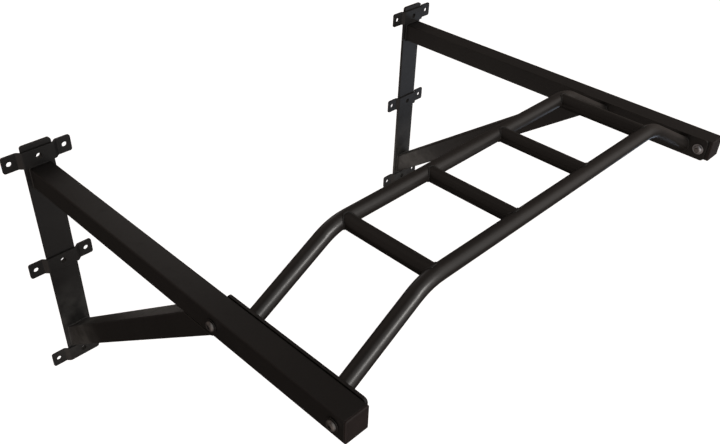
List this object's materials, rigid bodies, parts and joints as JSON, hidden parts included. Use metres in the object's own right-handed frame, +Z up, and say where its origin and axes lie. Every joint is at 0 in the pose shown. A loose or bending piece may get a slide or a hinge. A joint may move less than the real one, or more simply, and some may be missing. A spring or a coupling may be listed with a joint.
{
  "type": "wall-mounted ladder rig",
  "caption": "Black steel wall rig: braced square-tube wall brackets carry a raised ladder of round grip tube, bolted on through its end plates.",
  "frame": {"origin": "on the wall, midway between the brackets and level with the uprights' lower ends", "axes": "+X runs along the wall, to the right as seen from the room. +Y points into the wall, so the rig stands out towards -Y. +Z is up."},
  "size_m": [1.3792, 0.9765, 0.6668],
  "materials": {
    "black_powder_coat": "satin",
    "black_plastic": "matte",
    "bright_zinc": "satin",
    "dark_zinc": "satin"
  },
  "bodies": {
    "root": {"left_upright": "black_powder_coat", "left_strap_bottom": "black_powder_coat", "left_strap_middle": "black_powder_coat", "left_strap_top": "black_powder_coat", "left_beam": "black_powder_coat", "left_brace": "black_powder_coat", "left_beam_cap": "black_plastic", "right_upright": "black_powder_coat", "right_strap_bottom": "black_powder_coat", "right_strap_middle": "black_powder_coat", "right_strap_top": "black_powder_coat", "right_beam": "black_powder_coat", "right_brace": "black_powder_coat", "right_beam_cap": "black_plastic", "back_rail": "black_powder_coat", "front_rail": "black_powder_coat", "rung_1": "black_powder_coat", "rung_2": "black_powder_coat", "rung_3": "black_powder_coat", "rung_4": "black_powder_coat", "left_end_plate": "black_powder_coat", "right_end_plate": "black_powder_coat", "left_back_bolt": "bright_zinc", "left_front_bolt": "bright_zinc", "right_back_bolt": "bright_zinc", "right_front_bolt": "bright_zinc", "left_back_inner_washer": "bright_zinc", "left_front_inner_washer": "bright_zinc", "right_back_inner_washer": "bright_zinc", "right_front_inner_washer": "bright_zinc", "left_back_outer_washer": "dark_zinc", "left_front_outer_washer": "dark_zinc", "right_back_outer_washer": "dark_zinc", "right_front_outer_washer": "dark_zinc", "left_back_nut": "bright_zinc", "left_front_nut": "bright_zinc", "right_back_nut": "bright_zinc", "right_front_nut": "bright_zinc"}
  },
  "joints": []
}
